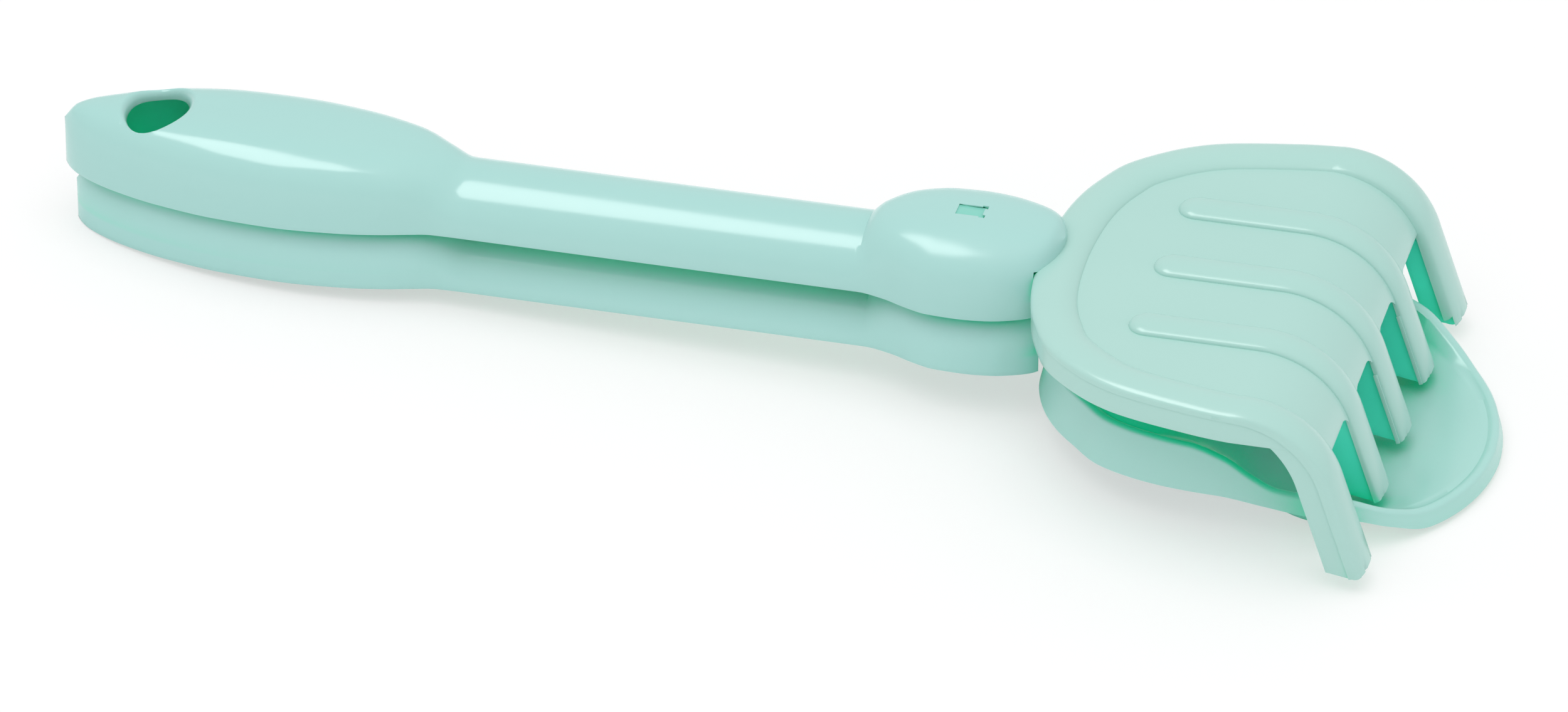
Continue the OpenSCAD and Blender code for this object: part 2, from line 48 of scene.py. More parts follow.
# The rake lies this far above the shovel and behind it, on a handle this much smaller all round
STACK, SHIFT, INSET = 15.0, 1.2, 1.1
# How the pair leans on the table, and its two ends along the table
TILT = math.radians(2.91652)
REAR_X, FRONT_X = -2.52173, 338.01
MIDDLE_X = (REAR_X + FRONT_X) / 2


def stands_at(dx, dz):
    """Takes a tool's own axes to the pair's place on the floor."""
    return (Matrix.Translation((-MIDDLE_X * MM, 0, 0))
            @ Matrix.Rotation(-TILT, 4, "Y") @ Matrix.Translation(((dx - SHIFT) * MM, 0, dz * MM)))


RAKE_PLACE = stands_at(0, STACK)
SHOVEL_PLACE = stands_at(SHIFT, 0)


def nothing_selected():
    """Leaves edit mode with nothing selected."""
    if bpy.context.object and bpy.context.object.mode != "OBJECT":
        bpy.ops.object.mode_set(mode="OBJECT")
    bpy.ops.object.select_all(action="DESELECT")


def only(piece):
    """Selects the piece alone."""
    nothing_selected()
    piece.select_set(True)
    bpy.context.view_layer.objects.active = piece


def smooth_row(rows, n):
    """n points along a smooth curve through rows, evenly spread along it."""
    pts = [Vector((r[0], r[1])) for r in rows]
    ends = [2 * pts[0] - pts[1]] + pts + [2 * pts[-1] - pts[-2]]
    if rows[0][1] == 0:
        ends[0] = Vector((pts[1].x, -pts[1].y))
    if rows[-1][1] == 0:
        ends[-1] = Vector((pts[-2].x, -pts[-2].y))
    fine, steps = [], 24
    for i in range(1, len(ends) - 2):
        p0, p1, p2, p3 = ends[i - 1:i + 3]
        d0, d1, d2 = [max((b - a).length, 1e-6) ** 0.5 for a, b in ((p0, p1), (p1, p2), (p2, p3))]
        m1 = ((p1 - p0) / d0 - (p2 - p0) / (d0 + d1) + (p2 - p1) / d1) * d1
        m2 = ((p2 - p1) / d1 - (p3 - p1) / (d1 + d2) + (p3 - p2) / d2) * d1
        for k in range(steps):
            u = k / steps
            fine.append(p1 * (2 * u ** 3 - 3 * u * u + 1) + m1 * (u ** 3 - 2 * u * u + u)
                        + p2 * (3 * u * u - 2 * u ** 3) + m2 * (u ** 3 - u * u))
    fine.append(pts[-1])
    run = [0.0]
    for a, b in zip(fine, fine[1:]):
        run.append(run[-1] + (b - a).length)
    out, j = [], 0
    for i in range(n):
        t = run[-1] * i / (n - 1)
        while j < len(run) - 2 and run[j + 1] < t:
            j += 1
        out.append(fine[j].lerp(fine[j + 1], (t - run[j]) / max(run[j + 1] - run[j], 1e-9)))
    return out


def height_at(rows, x):
    """The smooth height at x through rows of (x, height), which never overshoots a row."""
    sec = [(b[1] - a[1]) / (b[0] - a[0]) for a, b in zip(rows, rows[1:])]
    i = 0
    while i < len(rows) - 2 and x > rows[i + 1][0]:
        i += 1

    def slope(k):
        if k in (0, len(rows) - 1):
            return sec[min(k, len(sec) - 1)]
        p = sec[k - 1] * sec[k]
        return 0 if p <= 0 else 2 * p / (sec[k - 1] + sec[k])

    w = rows[i + 1][0] - rows[i][0]
    u = min(1, max(0, (x - rows[i][0]) / w))
    return (rows[i][1] * (1 + 2 * u) * (1 - u) ** 2 + rows[i + 1][1] * (3 - 2 * u) * u * u
            + w * (slope(i) * u * (1 - u) ** 2 - slope(i + 1) * u * u * (1 - u)))


# Half the outline seen from above, the crown's height along it, and how square the section is
OUTLINE = ([(0, 0)] + [(s * GRIP_L, w * GRIP_HALF) for s, w in (
    (0.011, 0.13), (0.043, 0.317), (0.108, 0.527), (0.193, 0.704), (0.273, 0.823), (0.428, 0.962),
    (0.576, 1), (0.719, 0.941), (0.823, 0.839), (0.89, 0.742), (0.94, 0.68))]
    + [(GRIP_L, SHAFT_HALF)] + [(GRIP_L + SHAFT_L * k / 6, SHAFT_HALF) for k in range(1, 6)]
    + [(COLLAR_X, SHAFT_HALF)]
    + [(COLLAR_X + s * COLLAR_L, w * COLLAR_HALF) for s, w in (
        (0.14, 0.76), (0.27, 0.897), (0.39, 0.985), (0.54, 1), (0.69, 0.962), (0.78, 0.897),
        (0.89, 0.766), (0.95, 0.6), (0.985, 0.38))] + [(HANDLE_L, 0)])
CROWN = ([(s * GRIP_L, h * GRIP_H) for s, h in (
    (0, 0.595), (0.03, 0.784), (0.08, 0.87), (0.2, 0.95), (0.41, 1), (0.58, 0.984), (0.72, 0.951),
    (0.866, 0.87), (0.94, 0.78))] + [(GRIP_L, SHAFT_H), (COLLAR_X, SHAFT_H)]
    + [(COLLAR_X + s * COLLAR_L, h * COLLAR_H) for s, h in (
        (0.035, 0.82), (0.14, 0.922), (0.25, 0.972), (0.34, 0.989), (0.55, 1), (0.8, 0.966),
        (0.94, 0.911), (1, 0.78))])
SQUARE = [(0, 2.6), (0.12 * GRIP_L, 2.8), (0.25 * GRIP_L, 3.5), (0.85 * GRIP_L, 3.3), (GRIP_L, 2),
          (COLLAR_X, 2), (COLLAR_X + 0.2 * COLLAR_L, 3), (HANDLE_L, 3)]
# Away from its ends the outline never overshoots a row, so the shaft's sides are straight
SIDES = [r for r in OUTLINE if 0.1 * GRIP_L < r[0] < HANDLE_L - 0.03 * COLLAR_L]
OUT = [Vector((p.x, height_at(SIDES, p.x))) if 0.2 * GRIP_L < p.x < HANDLE_L - 0.2 * COLLAR_L else p
       for p in smooth_row(OUTLINE, 260)]


def sheet(name, nu, nv, place, finish=None):
    """A grid of nu by nv cells whose points go where place(u, v) says, in mm. finish holds two
    materials and the share of v at which the second one starts."""
    nothing_selected()
    bpy.ops.mesh.primitive_grid_add(x_subdivisions=nu, y_subdivisions=nv, size=1)
    piece = bpy.context.object
    piece.name = name
    if finish:
        piece.data.materials.append(finish[0])
        piece.data.materials.append(finish[1])
        for f in piece.data.polygons:
            f.material_index = int(f.center.y + 0.5 > finish[2])
    for p in piece.data.vertices:
        p.co = Vector(place(p.co.x + 0.5, p.co.y + 0.5)) * MM
    return piece


WELD = 0.02 * MM


def merge(piece):
    """Welds the sheet's meeting edges and turns its faces one way."""
    only(piece)
    bpy.ops.object.mode_set(mode="EDIT")
    bpy.ops.mesh.select_all(action="SELECT")
    bpy.ops.mesh.remove_doubles(threshold=WELD)
    bpy.ops.mesh.dissolve_degenerate(threshold=1e-7)
    bpy.ops.mesh.normals_make_consistent(inside=False)
    bpy.ops.mesh.select_all(action="DESELECT")
    bpy.ops.object.mode_set(mode="OBJECT")


def handle_point(inset):
    """Places a point u along and v across a handle's shell, drawn in by inset."""
    def place(u, v):
        i = u * (len(OUT) - 1)
        k = min(int(i), len(OUT) - 2)
        p = OUT[k].lerp(OUT[k + 1], i - k)
        t = OUT[min(k + 2, len(OUT) - 1)] - OUT[max(k - 1, 0)]
        if k < 2:
            t = Vector((0, 1)).lerp(t.normalized(), i / 2)
        if k > len(OUT) - 4:
            t = Vector((0, -1)).lerp(t.normalized(), (len(OUT) - 1 - i) / 3)
        t.normalize()
        x, a = p.x + inset * t.y, max(0.0, p.y - inset * t.x)
        if i < 1e-6 or i > len(OUT) - 1 - 1e-6:
            a = 0
        b, n = height_at(CROWN, p.x) - inset, height_at(SQUARE, p.x)
        ang = math.pi * v
        c, s = abs(math.cos(ang)), abs(math.sin(ang))
        # Equal turns round the section, each drawn out to a squared ellipse
        r = (c ** n + s ** n) ** (-1 / n)
        return x, (-1 if v < 0.5 else 1) * a * r * c, b * r * s
    return place


cut_marks = [bpy.data.materials.new(n) for n in ("kept", "cutter")]


def cut(piece, cutter, inside):
    """Cuts the piece along the cutter's faces, then takes away the cutter and the faces inside it."""
    for part, mark in zip((piece, cutter), cut_marks):
        part.data.materials.clear()
        part.data.materials.append(mark)
    only(piece)
    cutter.select_set(True)
    bpy.ops.object.join()
    marked = piece.data.materials.find("cutter")
    bpy.ops.object.mode_set(mode="EDIT")
    bpy.ops.mesh.select_mode(type="FACE")
    bpy.ops.mesh.select_all(action="DESELECT")
    bpy.ops.object.mode_set(mode="OBJECT")
    for face in piece.data.polygons:
        face.select = face.material_index == marked
    bpy.ops.object.mode_set(mode="EDIT")
    bpy.ops.mesh.intersect(mode="SELECT_UNSELECT", separate_mode="CUT", solver="EXACT")
    bpy.ops.mesh.select_all(action="DESELECT")
    bpy.ops.object.mode_set(mode="OBJECT")
    for face in piece.data.polygons:
        face.select = face.material_index == marked or inside(face.center / MM)
    bpy.ops.object.mode_set(mode="EDIT")
    bpy.ops.mesh.delete(type="FACE")
    bpy.ops.mesh.select_all(action="SELECT")
    bpy.ops.mesh.remove_doubles(threshold=WELD)
    bpy.ops.mesh.select_all(action="DESELECT")
    bpy.ops.object.mode_set(mode="OBJECT")
    piece.data.materials.clear()
    for face in piece.data.polygons:
        face.material_index = 0


def select_edges(piece, chosen):
    """Leaves edit mode on with just those open edges selected whose both ends are chosen, in mm."""
    only(piece)
    bpy.ops.object.mode_set(mode="EDIT")
    bpy.ops.mesh.select_mode(type="EDGE")
    bpy.ops.mesh.select_all(action="DESELECT")
    bpy.ops.mesh.select_non_manifold(extend=False)
    bpy.ops.object.mode_set(mode="OBJECT")
    points = piece.data.vertices
    keep = [e.index for e in piece.data.edges
            if e.select and all(chosen(points[k].co / MM) for k in e.vertices)]
    bpy.ops.object.mode_set(mode="EDIT")
    bpy.ops.mesh.select_all(action="DESELECT")
    bpy.ops.object.mode_set(mode="OBJECT")
    for k in keep:
        piece.data.edges[k].select = True
    bpy.ops.object.mode_set(mode="EDIT")


def box_walls(x0, x1, y0, y1, z0, z1):
    """A box between those places in mm, to cut with."""
    nothing_selected()
    bpy.ops.mesh.primitive_cube_add(size=1)
    walls = bpy.context.object
    for p in walls.data.vertices:
        p.co = Vector([low if c < 0 else high
                       for c, low, high in zip(p.co, (x0, y0, z0), (x1, y1, z1))]) * MM
    return walls


def prism(points, lift, ends="NOTHING"):
    """A prism through points, whose two ends are at lift(point, 0) and lift(point, 1)."""
    nothing_selected()
    n = len(points)
    bpy.ops.mesh.primitive_cylinder_add(vertices=n, radius=1, depth=2, end_fill_type=ends)
    walls = bpy.context.object
    for p in walls.data.vertices:
        k = round(math.atan2(p.co.x, p.co.y) / (2 * math.pi / n)) % n
        p.co = Vector(lift(points[k], 1 if p.co.z > 0 else 0)) * MM
    return walls


def outwards(piece, up):
    """Turns a shell's faces so that, taken together, they look along up(centre)."""
    only(piece)
    bpy.ops.object.mode_set(mode="EDIT")
    bpy.ops.mesh.select_all(action="SELECT")
    bpy.ops.mesh.normals_make_consistent(inside=False)
    bpy.ops.mesh.select_all(action="DESELECT")
    bpy.ops.object.mode_set(mode="OBJECT")
    if sum(f.normal.dot(Vector(up(f.center / MM))) * f.area for f in piece.data.polygons) < 0:
        piece.data.flip_normals()


def thicken(piece, mats, wall=WALL, offset=-1, edge=0.3, rim=0):
    """Gives a shell its moulded wall and its materials for outside, inside and rim, where the inside ones
    are mostly painted shade, and rounds its sharp edges to that size."""
    only(piece)
    piece.data.materials.clear()
    for m in mats:
        piece.data.materials.append(m)
    shell = piece.modifiers.new("wall", "SOLIDIFY")
    shell.thickness, shell.offset, shell.use_even_offset = wall * MM, offset, True
    shell.thickness_clamp, shell.material_offset, shell.material_offset_rim = 1.5, 1, rim
    bpy.ops.object.modifier_apply(modifier="wall")
    if edge:
        soft = piece.modifiers.new("edge", "BEVEL")
        soft.width, soft.segments = edge * MM, 2
        soft.limit_method, soft.angle_limit = "ANGLE", math.radians(50)
        bpy.ops.object.modifier_apply(modifier="edge")


def join(name, pieces):
    """Makes the pieces one, and gives it that name."""
    only(pieces[0])
    for p in pieces[1:]:
        p.select_set(True)
    if len(pieces) > 1:
        bpy.ops.object.join()
    pieces[0].name = pieces[0].data.name = name
    return pieces[0]


def put(piece, place, body, node):
    """Takes a finished piece to its place in the pair, and names what it rides on and stands for."""
    only(piece)
    piece.matrix_world = place
    bpy.ops.object.transform_apply(location=True, rotation=True, scale=True)
    bpy.ops.object.shade_smooth_by_angle(angle=math.radians(38))
    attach(piece, body)
    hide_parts(node)


def shared_plastic():
    """Fine grain, flow streaks and faint handling marks of injection-moulded plastic."""
    g = bpy.data.node_groups.new("moulded_surface", "ShaderNodeTree")
    for side, n, k in (("INPUT", "Tone A", "Color"), ("INPUT", "Tone B", "Color"),
                       ("INPUT", "Roughness", "Float"), ("INPUT", "Grain", "Float"),
                       ("OUTPUT", "Color", "Color"), ("OUTPUT", "Roughness", "Float"),
                       ("OUTPUT", "Normal", "Vector")):
        g.interface.new_socket(n, in_out=side, socket_type="NodeSocket" + k)
    N, L = g.nodes, g.links
    gin, gout = N.new("NodeGroupInput"), N.new("NodeGroupOutput")
    at = N.new("ShaderNodeTexCoord")
    # Two tones, drifting along the way the plastic flowed
    flow = N.new("ShaderNodeMapping")
    flow.inputs["Scale"].default_value = (7, 16, 16)
    cloud = N.new("ShaderNodeTexNoise")
    cloud.inputs["Scale"].default_value, cloud.inputs["Detail"].default_value = 1.6, 3
    mix = N.new("ShaderNodeMix")
    mix.data_type = "RGBA"
    L.new(at.outputs["Object"], flow.inputs["Vector"])
    L.new(flow.outputs["Vector"], cloud.inputs["Vector"])
    L.new(cloud.outputs["Fac"], mix.inputs["Factor"])
    L.new(gin.outputs["Tone A"], mix.inputs[6])
    L.new(gin.outputs["Tone B"], mix.inputs[7])
    L.new(mix.outputs[2], gout.inputs["Color"])
    # Handling marks, which only change the gloss
    marks = N.new("ShaderNodeTexNoise")
    marks.inputs["Scale"].default_value, marks.inputs["Detail"].default_value = 160, 6
    marks.inputs["Roughness"].default_value = 0.7
    L.new(at.outputs["Object"], marks.inputs["Vector"])
    spread = N.new("ShaderNodeMapRange")
    spread.inputs["From Min"].default_value, spread.inputs["From Max"].default_value = 0.35, 0.75
    spread.inputs["To Min"].default_value, spread.inputs["To Max"].default_value = -0.02, 0.03
    L.new(marks.outputs["Fac"], spread.inputs["Value"])
    add = N.new("ShaderNodeMath")
    add.operation = "ADD"
    L.new(gin.outputs["Roughness"], add.inputs[0])
    L.new(spread.outputs["Result"], add.inputs[1])
    L.new(add.outputs["Value"], gout.inputs["Roughness"])
    # The mould's fine grain
    grain = N.new("ShaderNodeTexNoise")
    grain.inputs["Scale"].default_value, grain.inputs["Detail"].default_value = 900, 2
    L.new(at.outputs["Object"], grain.inputs["Vector"])
    bump = N.new("ShaderNodeBump")
    bump.inputs["Distance"].default_value = 0.01 * MM
    L.new(gin.outputs["Grain"], bump.inputs["Strength"])
    L.new(grain.outputs["Fac"], bump.inputs["Height"])
    L.new(bump.outputs["Normal"], gout.inputs["Normal"])
    return g


MOULDED = shared_plastic()
# The deep green of the painted shade, mixed in where a surface is hemmed in
PAINTED_SHADE_GREEN = (0.0, 0.85, 0.50)


def mint(name, tone_a, tone_b, rough=0.16, reach=0.016, open_share=(0.05, 0.5), above=None):
    """Mint plastic with painted shade: it turns deep green where only these shares of the air within reach
    (in metres) are open, all over or, with above, from that height in mm of the tool's own axes."""
    mat = bpy.data.materials.new(name)
    mat.use_nodes = True
    N, L = mat.node_tree.nodes, mat.node_tree.links
    shader = N["Principled BSDF"]
    surface = N.new("ShaderNodeGroup")
    surface.node_tree = MOULDED
    surface.inputs["Tone A"].default_value = (*tone_a, 1)
    surface.inputs["Tone B"].default_value = (*tone_b, 1)
    surface.inputs["Roughness"].default_value = rough
    surface.inputs["Grain"].default_value = 0.12
    # Painted shade: places hemmed in by other surfaces are painted a deeper green, standing in for the
    # shade there, which light that has passed through the plastic tints green
    shade = N.new("ShaderNodeAmbientOcclusion")
    shade.samples, shade.inputs["Distance"].default_value = 8, reach
    narrow = N.new("ShaderNodeMapRange")
    narrow.interpolation_type = "SMOOTHSTEP"
    narrow.inputs["From Min"].default_value, narrow.inputs["From Max"].default_value = open_share
    deep = N.new("ShaderNodeMix")
    deep.data_type = "RGBA"
    deep.inputs[6].default_value = (*PAINTED_SHADE_GREEN, 1)
    L.new(shade.outputs["AO"], narrow.inputs["Value"])
    L.new(narrow.outputs["Result"], deep.inputs["Factor"])
    # With above, no painted shade below that height, so the edges near the table keep the plain mint
    if above:
        at, height, low, pale = [N.new("ShaderNode" + n)
                                 for n in ("TexCoord", "VectorMath", "MapRange", "Math")]
        height.operation, pale.operation = "DOT_PRODUCT", "MAXIMUM"
        height.inputs[1].default_value = (-math.sin(TILT), 0, math.cos(TILT))
        base, fade = MIDDLE_X * math.sin(TILT), 3
        low.inputs["From Min"].default_value = (base + above) * MM
        low.inputs["From Max"].default_value = (base + above + fade) * MM
        low.inputs["To Min"].default_value, low.inputs["To Max"].default_value = 1, 0
        L.new(at.outputs["Object"], height.inputs[0])
        L.new(height.outputs["Value"], low.inputs["Value"])
        L.new(low.outputs["Result"], pale.inputs[0])
        L.new(narrow.outputs["Result"], pale.inputs[1])
        L.new(pale.outputs["Value"], deep.inputs["Factor"])
    L.new(surface.outputs["Color"], deep.inputs[7])
    L.new(deep.outputs[2], shader.inputs["Base Color"])
    L.new(surface.outputs["Roughness"], shader.inputs["Roughness"])
    L.new(surface.outputs["Normal"], shader.inputs["Normal"])
    shader.inputs["IOR"].default_value = 1.49
    return mat


# The hanging hole: its place, half length and half width, and how far its edge rolls in, each way
HOLE_X, HOLE_A, HOLE_B, ROLL_X, ROLL_Y = 22.7, 7.0, 9.4, 1.6, 1.1
ROLL_STEPS, ROLL_DEPTH, TUBE_L = 6, 1.5 * ROLL_X, 0.5
# The window in the collar's crown, by its middle and half sizes
WINDOW_X, WINDOW_A, WINDOW_B = COLLAR_X + 0.515 * COLLAR_L, 3.1, 2.2
# Where the head starts in the middle, how far the collar stands off it, and how its outline bows
HEAD_X = HANDLE_L - 0.105 * COLLAR_L
BOW_GAP, BOW = 0.08, 0.0039
# Above this height the shell is crown, not edge
CROWN_Z = 5


def in_hole(c, a, b, stretch=1.0):
    """Whether a place of the crown lies in the hanging hole of half sizes a and b, or just past it."""
    return c.z > CROWN_Z and ((c.x - HOLE_X) / a) ** 2 + (c.y / b) ** 2 < stretch


def bow_at(y):
    """Where the collar's sides end against the head's outline, y off the middle."""
    return HEAD_X - BOW_GAP + BOW * y * y


def handle_shell(name, inset, head_top, mats):
    """A whole handle, drawn in by inset, whose collar's nose ends at head_top over the head."""
    shell = sheet(name, 190, 44, handle_point(inset))
    merge(shell)
    a, b = HOLE_A + ROLL_X - inset, HOLE_B + ROLL_Y - inset
    nothing_selected()
    bpy.ops.mesh.primitive_cylinder_add(vertices=72, radius=1, depth=1, end_fill_type="NOTHING")
    drill, drill_z, drill_l = bpy.context.object, 16, 16
    for p in drill.data.vertices:
        p.co = Vector((HOLE_X + p.co.x * a, p.co.y * b, drill_z + p.co.z * drill_l)) * MM
    cut(shell, drill, lambda c: in_hole(c, a, b))
    # The hole's edge rolls over, gets level ring by ring, and runs down as a short tube
    select_edges(shell, lambda c: in_hole(c, a, b, 1.05))
    middle = (HOLE_X * MM, 0, (height_at(CROWN, HOLE_X) - inset - ROLL_X) * MM)
    level = 0.93
    at_a, at_b, at_z = a, b, 0
    for k in range(1, ROLL_STEPS + 2):
        t = math.radians(90 * min(k, ROLL_STEPS) / ROLL_STEPS)
        new_a, new_b = a - ROLL_X * math.sin(t), b - ROLL_Y * math.sin(t)
        new_z = -ROLL_DEPTH * (1 - math.cos(t)) - (TUBE_L if k > ROLL_STEPS else 0)
        bpy.ops.mesh.extrude_edges_move()
        bpy.ops.transform.resize(value=(new_a / at_a, new_b / at_b, level), center_override=middle)
        bpy.ops.transform.translate(value=(0, 0, (new_z - at_z) * MM))
        at_a, at_b, at_z = new_a, new_b, new_z
    bpy.ops.object.mode_set(mode="OBJECT")
    below, above = 12, 22
    cut(shell, box_walls(WINDOW_X - WINDOW_A, WINDOW_X + WINDOW_A, -WINDOW_B, WINDOW_B, below, above),
        lambda c: c.z > below and abs(c.x - WINDOW_X) < WINDOW_A and abs(c.y) < WINDOW_B)
    # The collar's sides end along the head's round outline, and its nose reaches over the head
    past, wide, under = HANDLE_L + 5, 30, -5
    notch = [(bow_at(y), y) for y in range(-wide, wide + 1, 2)] + [(past, wide), (past, -wide)]
    cut(shell, prism(notch, lambda p, top: (*p, head_top if top else under), "NGON"),
        lambda c: c.x > bow_at(c.y) and c.z < head_top)
    outwards(shell, lambda c: (0, 0, 1))
    thicken(shell, mats)
    return shell


# Outside: mint with painted shade in its hollows. Inside: a deep green that is painted shade
MINT = [mint("rake_handle_mint", (0.385, 0.67, 0.635), (0.415, 0.70, 0.66)),
        mint("rake_handle_inside_painted_shade", (0.02, 0.80, 0.48), (0.04, 0.84, 0.52), 0.35)]
# The collar is satin, the grip and the shaft are glossy: this much rougher after this many mm
SATIN, SATIN_FADE = 0.08, 16
mint_nodes, mint_links = MINT[0].node_tree.nodes, MINT[0].node_tree.links
along, split, satin, rougher = [mint_nodes.new("ShaderNode" + n)
                                for n in ("TexCoord", "SeparateXYZ", "MapRange", "Math")]
mint_links.new(along.outputs["Object"], split.inputs["Vector"])
mint_links.new(split.outputs["X"], satin.inputs["Value"])
satin.inputs["From Min"].default_value = (COLLAR_X - SHIFT - MIDDLE_X) * MM
satin.inputs["From Max"].default_value = satin.inputs["From Min"].default_value + SATIN_FADE * MM
satin.inputs["To Max"].default_value = SATIN
mint_links.new(satin.outputs["Result"], rougher.inputs[0])
mint_links.new(mint_nodes["Group"].outputs["Roughness"], rougher.inputs[1])
mint_links.new(rougher.outputs["Value"], mint_nodes["Principled BSDF"].inputs["Roughness"])
# The height of the rake head's top, under the collar's nose
RAKE_TOP = 10.7
rake_shell = handle_shell("rake_handle_shell", 0, RAKE_TOP, MINT)
# The rib inside the grip that carries it on the crown of the shovel's handle: its place along the
# grip, its play over that crown, and how high it ends at the sides
SEAT_X, SEAT_GAP, SEAT_FOOT = 0.58 * GRIP_L, 0.3, 0.6
seat_k = min((k for k, p in enumerate(OUT) if p.y >= 1), key=lambda k: abs(OUT[k].x - SEAT_X))
seat_u = seat_k / (len(OUT) - 1)


def seat_point(u, v):
    """A point of the seat rib, from inside the grip at u = 0 down to the shovel's crown at 1."""
    hi, lo = handle_point(WALL / 2)(seat_u, v), handle_point(INSET - SEAT_GAP)(seat_u, v)
    low = Vector((SEAT_X, lo[1] * 0.98, max(lo[2] - STACK, SEAT_FOOT)))
    return Vector((SEAT_X, hi[1], hi[2])).lerp(low, u)


seat = sheet("seat_rib", 6, 30, seat_point)
merge(seat)
# The hidden rib takes the painted shade of the shell's inside on both faces
thicken(seat, [MINT[1], MINT[1]], offset=0, edge=0)
rake_handle = join("rake_handle_moulding", [rake_shell, seat])
put(rake_handle, RAKE_PLACE, "rake", "rake_handle")


# The head of the rake: one moulding in the same mint plastic, which snaps into the collar. A D-shaped
# plate with a raised rim bends down into five tines; each is a U-shaped channel whose front is a
# rounded rib or the rim.
HEAD_HALF, PLATE_H, PLATE_L, BEND_R = 60.5, 9.9, 55.9, 22.5
LEAN, TINE_H, PITCH, TINE_HALF = math.radians(18.9), 22.3, 26.0, 4.4
RIM_W, RIM_H, RIB_H, SKIRT_Z, FORWARD = 10.4, 1.7, 1.6, 4.0, 1.2
BEND_X, BEND_T = HEAD_X + PLATE_L, math.pi / 2 - LEAN
# The way from the bend's start to its end, and on past the tips, which are cut off last
BEND_RUN = BEND_R * BEND_T
TINE_RUN = BEND_RUN + 1.15 * TINE_H / math.cos(LEAN)
PLAN = smooth_row([(HEAD_X + x * PLATE_L, y * HEAD_HALF) for x, y in (
    (0, 0), (0.003, 0.1), (0.01, 0.2), (0.03, 0.335), (0.065, 0.46), (0.11, 0.56), (0.16, 0.655),
    (0.215, 0.715), (0.285, 0.775), (0.36, 0.83), (0.44, 0.875), (0.52, 0.908), (0.65, 0.942),
    (0.8, 0.972), (0.9, 0.99), (1, 1))], 110)
for again in range(10):
    PLAN = ([PLAN[0]] + [(a + 2 * b + c) / 4 for a, b, c in zip(PLAN, PLAN[1:], PLAN[2:])] + [PLAN[-1]])


def front(s, g=0.0, rise=0.0):
    """Point and turn of the plate's side profile, s past the start of the bend and g above it, and
    further out by rise once it is bent."""
    t = min(max(s / BEND_R, 0), BEND_T)
    k = BEND_R + g + rise * (t / BEND_T) ** 0.7
    d = max(s - BEND_RUN, 0)
    return (BEND_X + min(s, 0) + k * math.sin(t) + d * math.sin(LEAN),
            PLATE_H - BEND_R + k * math.cos(t) - d * math.cos(LEAN), t)


# The head unrolled, as rows of its length and half width: the plate, the bend and the tines
ROWS = ([(p.x - BEND_X, p.y) for p in PLAN] + [(BEND_RUN * k / 28, HEAD_HALF) for k in range(1, 29)]
        + [(BEND_RUN + (TINE_RUN - BEND_RUN) * k / 8, HEAD_HALF) for k in range(1, 9)])


def between(rows, i):
    """The row at i, which may lie between two rows."""
    k = min(int(i), len(rows) - 2)
    return [a + (b - a) * (i - k) for a, b in zip(rows[k], rows[k + 1])]


# The plate's skin ends this far inside the rim's outer edge
SKIN_IN = 0.8


def skin_point(u, v):
    s, w = between(ROWS, u * (len(ROWS) - 1))
    x, z = front(s)[:2]
    return x, (2 * v - 1) * max(w - SKIN_IN, 0), z


# A ridge's foot takes this share of each side of its section, and goes this deep into the skin
FOOT, FOOT_DEPTH, SINK = 0.1, 0.6, 0.12


def ridge_point(path, rise, half):
    """A rounded ridge of that rise and half width along path(u) -> point, side, up, fullness, how far its
    foot is lifted off the skin, and how softly its inner side runs out (1 is round)."""
    def place(u, v):
        q, side, up, full, lift, soft = path(u)
        t = math.pi * min(1, max(0, (v - FOOT) / (1 - 2 * FOOT)))
        h = rise * full * abs(math.sin(t)) ** (0.75 if t < math.pi / 2 else soft) - SINK
        drop = (FOOT_DEPTH + lift) * max(0, FOOT - min(v, 1 - v)) / FOOT
        return q + side * half * full * math.cos(t) + up * (h - drop)
    return place


def rim_path(u):
    """The rim, from one outer tine's tip round the plate to the other's, for ridge_point."""
    k, sign = abs(2 * u - 1) * (len(ROWS) - 1), 1 if u > 0.5 else -1
    s, w = between(ROWS, k)
    x, z, t = front(s, 0, FORWARD)
    # The way across the rim, averaged over its neighbours in the unrolled plan
    n = Vector((0, 0))
    for d in range(1, 8):
        hi = between(ROWS, min(k + d, len(ROWS) - 1))
        lo = between(ROWS, k - d) if k >= d else [q * m for q, m in zip(between(ROWS, d - k), (1, -1))]
        n += Vector((lo[1] - hi[1], hi[0] - lo[0])).normalized()
    n.normalize()
    n = Vector((n.x * math.cos(t), n.y, -n.x * math.sin(t)))
    q = Vector((x, w, z)) - n * RIM_W / 2
    bent = t / BEND_T
    return (Vector((q.x, sign * q.y, q.z)), Vector((n.x, sign * n.y, n.z)),
            Vector((math.sin(t), 0, math.cos(t))), 1, FORWARD * bent ** 0.7, 1.5 - 0.75 * bent)


RIB_START = -(1 - 0.457) * PLATE_L


def rib_path(y):
    """The rib at y, from its start on the plate to its tine's tip, for ridge_point."""
    def path(u):
        s = RIB_START + (TINE_RUN - RIB_START) * u ** 1.6
        x, z, t = front(s)
        full = min(1, max(0.02, (s - RIB_START) / TINE_HALF))
        full = math.sqrt(1 - (1 - full) ** 2)
        return Vector((x, y, z)), Vector((0, 1, 0)), Vector((math.sin(t), 0, math.cos(t))), full, 0, 0.75
    return path


# A tine's flanks start this far into the bend and are this deep, inside the tines and outside
FLANK_START, INNER_FLANK, OUTER_FLANK = 3, 8.2, 7.2


def wall_point(y, depth, rise):
    """A tine's flank at y, that deep, whose front edge is hidden in the rib or, with rise, the rim."""
    def place(u, v):
        x, z = front(FLANK_START + (TINE_RUN - FLANK_START) * u, 0.1 if rise else -0.3, rise)[:2]
        return x - depth * v, y, z
    return place


